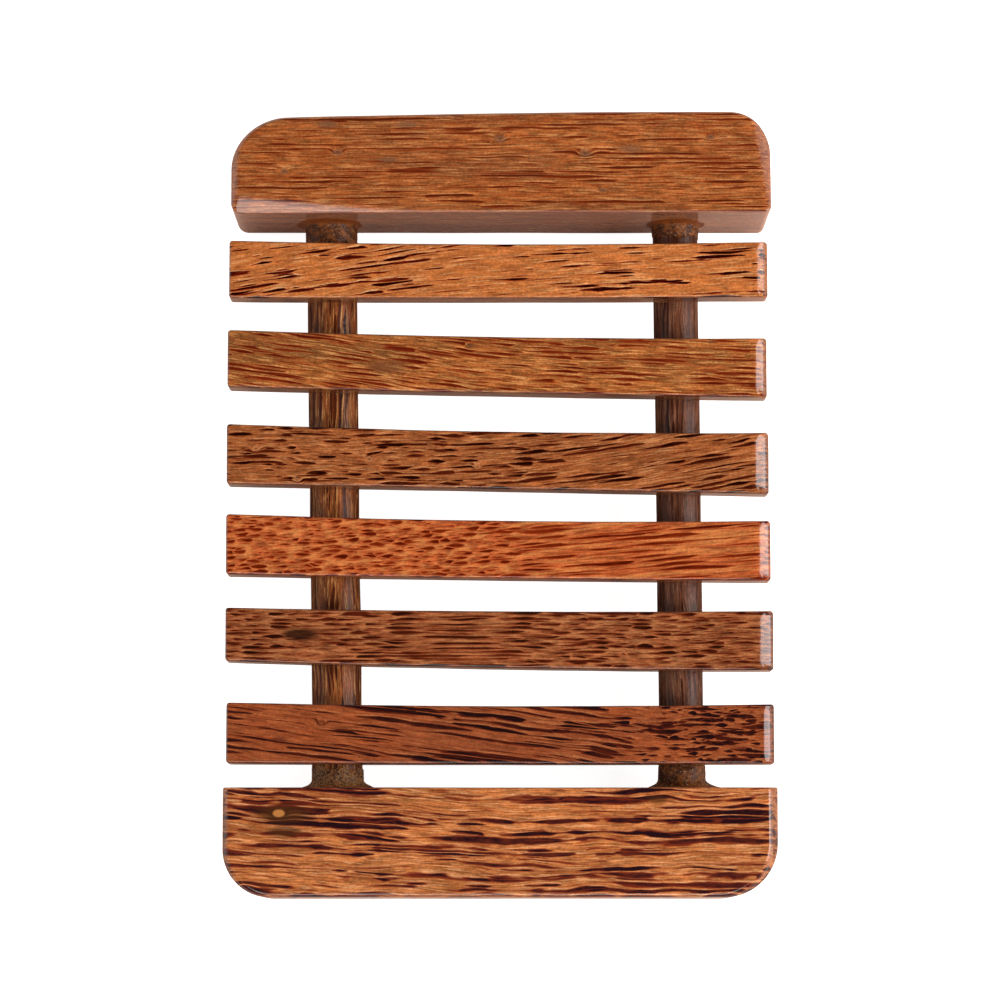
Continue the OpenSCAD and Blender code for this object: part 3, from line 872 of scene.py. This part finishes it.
SLAT_GRAINS = {
    "slat_1": dict(
        seed=9.0, lean=(0.1, 0.07), drift=(-0.14, -0.05), turn=(-8.0, 14.0), sizes=(0.2, 0.82),
        soft=0.22, presence=(0.41, 0.58), core=0.4, dark="#220000", rim="#861d03", pale="#f6c084",
        pale_share=0.8, hair_share=0.2, fair_share=0.3, brown_share=0.1, calm=(2.0, 13.0),
        calm_share=0.4, streaky=0.45, sandy=0.28),
    "slat_2": dict(
        seed=13.0, drift=(0.15, 0.04), lean=(0.09, 0.1), wave=0.45, spacing=0.75, soft=0.32,
        dark="#511204", rim="#842a0a", pale="#dd9c5c", pale_share=0.7, hair_share=0.6,
        fair_share=0.6, brown="#6a4322", brown_share=0.65, sandy=0.28, knots=((-4.7, 24.1, 0.4),),
        smears=((-17.4, 20.7, 0.9),), knot="#6a4028", knot_core="#54301e"),
    "slat_3": dict(
        seed=17.0, drift=(0.0, -0.16), lean=(0.2, 0.1), turn=(4.0, 18.0), wave=0.5,
        sizes=(0.15, 0.7), soft=0.26, core=0.35, dark="#1e0300", rim="#6c2208", pale="#dc9862",
        brown="#6c4024", streaky=0.65, fair_share=0.5, sandy=0.25,
        knots=((-37.3, 8.2, 0.45), (-31.0, 3.4, 0.4), (-20.0, 6.6, 0.5), (-3.5, 5.4, 0.4)),
        knot="#b9764a", knot_core="#2a0d06"),
    "slat_4": dict(
        seed=21.0, lean=(0.36, 0.05), drift=(-0.05, -0.08), turn=(2.0, 14.0), spacing=0.84,
        sizes=(0.3, 0.74), soft=0.36, presence=(0.2, 0.5), long_share=0.5, dark="#4d0f00",
        rim="#882806", pale="#e09250", brown_share=0.1, net_share=0.4, fair_share=0.3, streaky=0.7),
    "slat_5": dict(
        seed=25.0, lean=(-0.22, 0.22), turn=(-6.0, 24.0), spacing=0.72, sizes=(0.3, 0.8), soft=0.4,
        presence=(0.28, 0.54), long_share=0.8, core=0.3, dark="#260a02", rim="#6a220a",
        pale="#d08a56", brown="#5c3019", brown_share=0.4, net_share=0.3, fair_share=0.35,
        smears=((-30.5, -20.2, 0.85),), knot="#2c1408", knot_share=0.9),
    "slat_6": dict(
        seed=29.0, drift=(0.13, 0.02), lean=(0.05, 0.42), turn=(20.0, 10.0), wave=0.55,
        sizes=(0.26, 0.84), long_share=1.1, core=0.35, dark="#1e090a", rim="#601e0a",
        pale="#cf8a54", brown="#743f28", calm=(-32.0, 12.0), calm_share=0.35, streaky=0.5,
        hair_share=0.45, fair_share=0.2, soft=0.32, knots=((-27.1, -33.7, 0.55),),
        smears=((-33.5, -36.2, 0.45),), knot="#3e140c", knot_core="#9a4a28"),
}
DOWEL_GRAINS = {
    "left_dowel": dict(
        axis="Y", seed=33.0, lean=(0.04, 0.04), drift=(0.06, -0.03), wave=0.9, presence=(0.3, 0.6),
        dark="#30120a", rim="#5e250b", pale="#d69a5c", pale_share=0.6, fair_share=0.7,
        brown="#4e2c1a", brown_share=0.6, ends=0.2, sides=0.3, coat=0.22, coat_roughness=0.24,
        coat_ripple=1.0, ripple_depth=0.1),
    "right_dowel": dict(
        axis="Y", seed=37.0, lean=(0.03, 0.03), drift=(0.04, -0.02), wave=0.7,
        presence=(0.35, 0.65), dark="#2a120c", rim="#4b2010", pale="#94694e", pale_share=0.45,
        brown="#42291f", brown_share=0.6, ends=0.2, sides=0.3, coat=0.26, coat_roughness=0.26,
        coat_ripple=1.0, ripple_depth=0.08),
}


# The stage

def sheet(name, half, height, material):
    """A level square sheet, in metres."""
    mesh = bpy.data.meshes.new(name)
    corners = [(x, y, height) for x, y in
               ((-half, -half), (half, -half), (half, half), (-half, half))]
    mesh.from_pydata(corners, [], [(0, 1, 2, 3)])
    mesh.materials.append(material)
    return placed(name, mesh)


def white_to_the_eye(add, strength):
    """How strongly a backdrop glows. strength is its light on the dish, and then what the
    camera and reflections see."""
    rays = add("LightPath").outputs
    seen = add("Math", GREATER, [rays["Is Camera Ray"], rays["Is Glossy Ray"]])
    seen = add("Math", GREATER, [seen, rays["Is Transmission Ray"]])
    return add("MapRange", (), [seen, 0.0, 1.0, *strength])


def paper_floor(colour):
    """A wide sheet of matt white paper, which looks evenly lit to the camera."""
    material = bpy.data.materials.new("matt_white_paper")
    add = emptied(material)
    paper = add("BsdfDiffuse", (), {"Color": (*colour, 1)})
    glow = add("Emission", (), {"Strength": white_to_the_eye(add, (0.0, 0.86))})
    both = add("AddShader", (), [paper, glow])
    add("OutputMaterial", (), [both])
    floor = sheet("floor", 3.0, 0, material)


def white_world():
    """A white room, which looks brighter than the light that it gives."""
    world = bpy.data.worlds.new("white_studio")
    add = emptied(world)
    sky = add("Background", (), {"Strength": white_to_the_eye(add, (0.3, 1.0))})
    add("OutputWorld", (), [sky])
    bpy.context.scene.world = world


def cards():
    """A black card over the camera and a brown one under the dish, which only reflections see:
    they keep the flat lacquered tops and the low sides free of glare."""
    for name, half, height, colour in (("black_card", 2.4, 0.95, "#080808"),
                                       ("brown_card", 0.12, 0.00002, "#f2cfbb")):
        material = bpy.data.materials.new("matt_" + name)
        add = emptied(material)
        paper = add("BsdfDiffuse", (), {"Color": (*linear(colour), 1)})
        add("OutputMaterial", (), [paper])
        card = sheet(name, half, height, material)
        card.visible_camera = card.visible_diffuse = card.visible_shadow = False


def softbox(name, place, size, power):
    """A rectangular lamp, turned towards the dish."""
    lamp = bpy.data.lights.new(name, "AREA")
    lamp.shape = "RECTANGLE"
    lamp.size, lamp.size_y = size
    lamp.energy = power
    box = placed(name, lamp)
    box.location = place
    box.rotation_euler = Vector(place).to_track_quat("Z", "Y").to_euler()


def photo_camera():
    """The photograph's view: from 600 mm above the floor and a little in front."""
    focal_px, frame_px, sensor_mm = 3865.0, 1000.0, 36.0
    nadir_x_px, nadir_y_px, centre_px = 495.0, 945.0, 500.0
    lens = bpy.data.cameras.new("camera")
    lens.sensor_width = sensor_mm
    lens.lens = focal_px / frame_px * sensor_mm
    lens.clip_start, lens.clip_end = 0.01, 20
    down = Vector(((nadir_x_px - centre_px) / focal_px, -(nadir_y_px - centre_px) / focal_px, -1.0))
    up = -down.normalized()
    towards_rear = Vector((0, 1, 0)) - up.y * up
    towards_rear.normalize()
    right = towards_rear.cross(up)
    turn = Matrix([right, towards_rear, up])
    camera = placed("camera", lens)
    camera.matrix_world = Matrix.Translation((-0.00082, -0.06705, 0.6)) @ turn.to_4x4()
    bpy.context.scene.camera = camera


class SOAPDISH_OT_stage(Operator):
    """Builds the floor, the lamps and the camera"""
    bl_idname = "soapdish.stage"
    bl_label = "Floor, lamps and camera"

    def execute(self, context):
        props = context.scene.soapdish_stage
        context.scene.view_settings.view_transform = "Standard"
        paper_floor(props.floor)
        white_world()
        cards()
        softbox("right_softbox", (0.62, -0.02, 0.35), (0.38, 0.6), props.key_power)
        softbox("left_softbox", (-0.62, 0.05, 0.4), (0.6, 0.7), props.fill_power)
        softbox("front_softbox", (0.0, -0.36, 0.68), (0.5, 0.34), props.front_power)
        photo_camera()
        return {"FINISHED"}


class SOAPDISH_PT_panel(bpy.types.Panel):
    """Sizes, colours and builders of the soap dish"""
    bl_label = "Soap dish"
    bl_space_type = "VIEW_3D"
    bl_region_type = "UI"
    bl_category = "Soap dish"

    def draw(self, context):
        for group, name in GROUPS.items():
            box = self.layout.box()
            box.label(text=group.__doc__.rstrip("."))
            for field in group.__annotations__:
                box.prop(getattr(context.scene, name), field)
        for operator in OPERATORS:
            self.layout.operator(operator.bl_idname)


GROUPS = {
    SoapDishBlocks: "soapdish_blocks", SoapDishSlats: "soapdish_slats",
    SoapDishDowels: "soapdish_dowels", SoapDishGlue: "soapdish_glue",
    SoapDishStage: "soapdish_stage",
}
OPERATORS = [SOAPDISH_OT_front_block, SOAPDISH_OT_rear_block, SOAPDISH_OT_slats, SOAPDISH_OT_dowels,
             SOAPDISH_OT_glue, SOAPDISH_OT_stage]


def register():
    for group, name in GROUPS.items():
        bpy.utils.register_class(group)
        setattr(bpy.types.Scene, name, PointerProperty(type=group))
    for cls in [*OPERATORS, SOAPDISH_PT_panel]:
        bpy.utils.register_class(cls)


def unregister():
    for cls in reversed([*OPERATORS, SOAPDISH_PT_panel]):
        bpy.utils.unregister_class(cls)
    for group, name in reversed(GROUPS.items()):
        delattr(bpy.types.Scene, name)
        bpy.utils.unregister_class(group)


def main():
    register()
    bpy.ops.soapdish.front_block()
    bpy.ops.soapdish.rear_block()
    bpy.ops.soapdish.slats()
    bpy.ops.soapdish.dowels()
    bpy.ops.soapdish.glue()
    bpy.ops.soapdish.stage()


if __name__ == "__main__":
    main()
